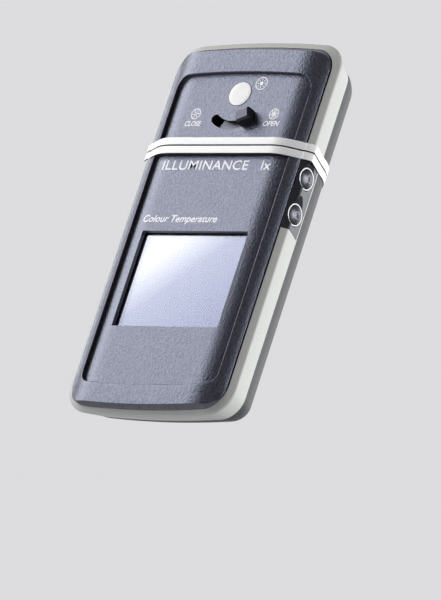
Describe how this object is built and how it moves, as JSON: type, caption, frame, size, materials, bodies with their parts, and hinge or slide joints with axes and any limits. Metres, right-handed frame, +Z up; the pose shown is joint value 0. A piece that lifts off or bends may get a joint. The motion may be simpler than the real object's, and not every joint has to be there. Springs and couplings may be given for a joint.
{
  "type": "handheld light meter",
  "caption": "Slim upright light meter with a sunk display, a head that turns on a hollow spindle, a diffuser with a lever shutter, side keys and a rear tripod socket.",
  "frame": {"origin": "centre of the tripod socket's mouth, on the flat back", "axes": "+Z up the long axis towards the sensor head, -Y out of the display face, +Y out of the back, +X towards the side keys"},
  "size_m": [0.0708, 0.0295, 0.138],
  "materials": {
    "cover_plastic": "fine leather-like moulded grain with a soft satin sheen",
    "frame_plastic": "smooth satin moulding",
    "back_plastic": "fine matt moulded grain",
    "collar_plastic": "smooth semi-gloss white moulding",
    "window_glass": "polished",
    "display_panel": "lit pale blue panel",
    "seal_rubber": "matt black",
    "circuit_board": "green solder mask",
    "battery_wrap": "grey sleeve",
    "bright_steel": "fine brushed",
    "screw_steel": "blackened",
    "brass_insert": "turned",
    "key_gloss": "polished black",
    "ring_chrome": "bright",
    "opal_diffuser": "opal white",
    "black_plastic": "satin black",
    "shutter_plate": "grey coated plate"
  },
  "bodies": {
    "body": {"front_cover": "cover_plastic", "front_seal": "seal_rubber", "side_frame": "frame_plastic", "back_cover": "back_plastic", "lower_collar": "collar_plastic", "display_window": "window_glass", "display_gasket": "seal_rubber", "display_module": "display_panel", "main_board": "circuit_board", "battery_pack": "battery_wrap", "usb_socket": "bright_steel", "tripod_bush": "brass_insert", "cover_screws": "screw_steel", "key_block": "key_gloss", "key_rings": "ring_chrome", "key_board": "circuit_board", "key_switches": "bright_steel", "swivel_bush": "brass_insert", "swivel_cable": "seal_rubber"},
    "head": {"head_cover": "cover_plastic", "head_seal": "seal_rubber", "head_frame": "frame_plastic", "head_back": "back_plastic", "upper_collar": "collar_plastic", "head_screws": "screw_steel", "swivel_spindle": "bright_steel", "friction_washer": "brass_insert", "spindle_clip": "screw_steel", "diffuser": "opal_diffuser", "diffuser_seat": "black_plastic", "sensor_barrel": "black_plastic", "sensor_board": "circuit_board", "spectrometer": "black_plastic", "shutter_clip": "bright_steel"},
    "shutter": {"shutter_disc": "shutter_plate", "shutter_knob": "black_plastic"},
    "upper_key": {"key_upper": "key_gloss"},
    "lower_key": {"key_lower": "key_gloss"}
  },
  "joints": [
    {"name": "head_swivel", "type": "hinge", "parent": "body", "child": "head", "pos_m": [0, -0.013, 0.0465], "axis": [0, 0, 1], "range_deg": [-90, 180]},
    {"name": "shutter_turn", "type": "hinge", "parent": "head", "child": "shutter", "pos_m": [0, -0.0235, 0.0664], "axis": [0, 1, 0], "range_deg": [0, 72]},
    {"name": "upper_key_press", "type": "slide", "parent": "body", "child": "upper_key", "axis": [-1, 0, 0], "range_m": [0, 0.0005], "stiffness_N_per_m": 2000},
    {"name": "lower_key_press", "type": "slide", "parent": "body", "child": "lower_key", "axis": [-1, 0, 0], "range_m": [0, 0.0005], "stiffness_N_per_m": 2000}
  ]
}
